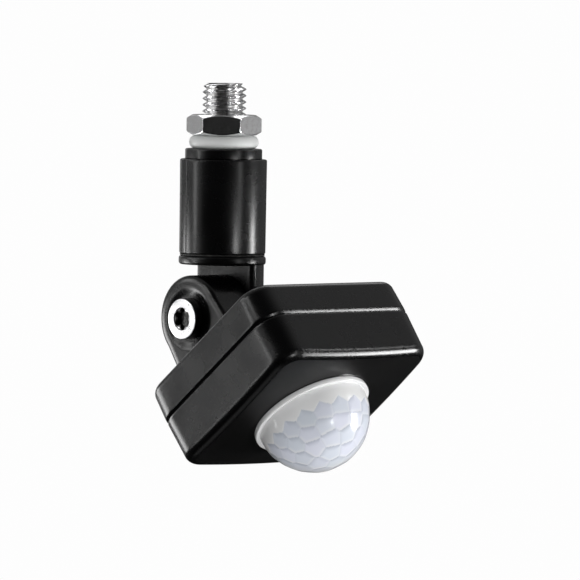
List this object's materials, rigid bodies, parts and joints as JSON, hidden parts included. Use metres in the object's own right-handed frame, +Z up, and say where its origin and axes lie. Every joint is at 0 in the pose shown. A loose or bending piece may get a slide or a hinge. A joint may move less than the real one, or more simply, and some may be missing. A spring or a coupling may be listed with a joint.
{
  "type": "motion sensor",
  "caption": "Swivelling passive infrared motion sensor head with threaded stem, pan ring, tilt knuckle, square housing and domed lens.",
  "frame": {"origin": "on the stem axis, in the collar's top face, where the sealing washer rests", "axes": "+Z up along the stem and out of its threaded end; +X along the tilt hinge, away from the screw head; -Y is where the lens faces when level"},
  "size_m": [0.0564, 0.0675, 0.1053],
  "materials": {
    "plated_thread": "bright nickel plate",
    "silicone": "translucent white silicone",
    "black_gloss": "moulded black ABS, gloss",
    "black_rubber": "matt black",
    "bright_steel": "zinc plated",
    "white_plastic": "white nylon",
    "milky_lens": "milky translucent polyethylene",
    "board_green": "solder mask",
    "amber_plastic": "satin",
    "red_plastic": "clear red",
    "blue_plastic": "satin",
    "grey_plastic": "satin sleeve"
  },
  "bodies": {
    "stem": {"threaded_stud": "plated_thread", "sealing_washer": "silicone", "stem_collar": "black_gloss", "stem_sleeve": "black_gloss"},
    "nut": {"lock_nut": "plated_thread"},
    "knuckle": {"swivel_knuckle": "black_gloss", "swivel_seal": "black_rubber", "swivel_clip": "bright_steel", "hinge_screw": "plated_thread", "hinge_nut": "bright_steel", "thrust_washer": "white_plastic"},
    "head": {"rear_shell": "black_gloss", "front_shell": "black_gloss", "housing_gasket": "black_rubber", "lens": "milky_lens", "lens_retainer": "white_plastic", "circuit_board": "board_green", "sensor_stand": "white_plastic", "pir_sensor": "bright_steel", "daylight_cell": "amber_plastic", "indicator_lamp": "red_plastic", "relay": "blue_plastic", "film_capacitor": "amber_plastic", "storage_capacitor": "grey_plastic", "housing_screw_1": "bright_steel", "housing_screw_2": "bright_steel", "housing_screw_3": "bright_steel", "housing_screw_4": "bright_steel", "board_screw_1": "bright_steel", "board_screw_2": "bright_steel", "board_screw_3": "bright_steel", "time_trimmer": "blue_plastic", "light_trimmer": "blue_plastic", "range_trimmer": "blue_plastic"},
    "time_control": {"time_knob": "white_plastic"},
    "light_control": {"light_knob": "white_plastic"},
    "range_control": {"range_knob": "white_plastic"}
  },
  "joints": [
    {"name": "pan", "type": "hinge", "parent": "stem", "child": "knuckle", "pos_m": [0, 0, -0.0294], "axis": [0, 0, 1], "range_deg": [-90, 90]},
    {"name": "tilt", "type": "hinge", "parent": "knuckle", "child": "head", "pos_m": [0, 0, -0.0466], "axis": [1, 0, 0], "range_deg": [-52, 38]},
    {"name": "nut_run", "type": "slide", "parent": "stem", "child": "nut", "axis": [0, 0, 1], "range_m": [0, 0.0075]},
    {"name": "time_turn", "type": "hinge", "parent": "head", "child": "time_control", "pos_m": [-0.013, -0.00908, -0.08088], "axis": [0, 0.788, -0.6157], "range_deg": [-135, 135]},
    {"name": "light_turn", "type": "hinge", "parent": "head", "child": "light_control", "pos_m": [0, -0.00908, -0.08088], "axis": [0, 0.788, -0.6157], "range_deg": [-135, 135]},
    {"name": "range_turn", "type": "hinge", "parent": "head", "child": "range_control", "pos_m": [0.013, -0.00908, -0.08088], "axis": [0, 0.788, -0.6157], "range_deg": [-135, 135]}
  ]
}
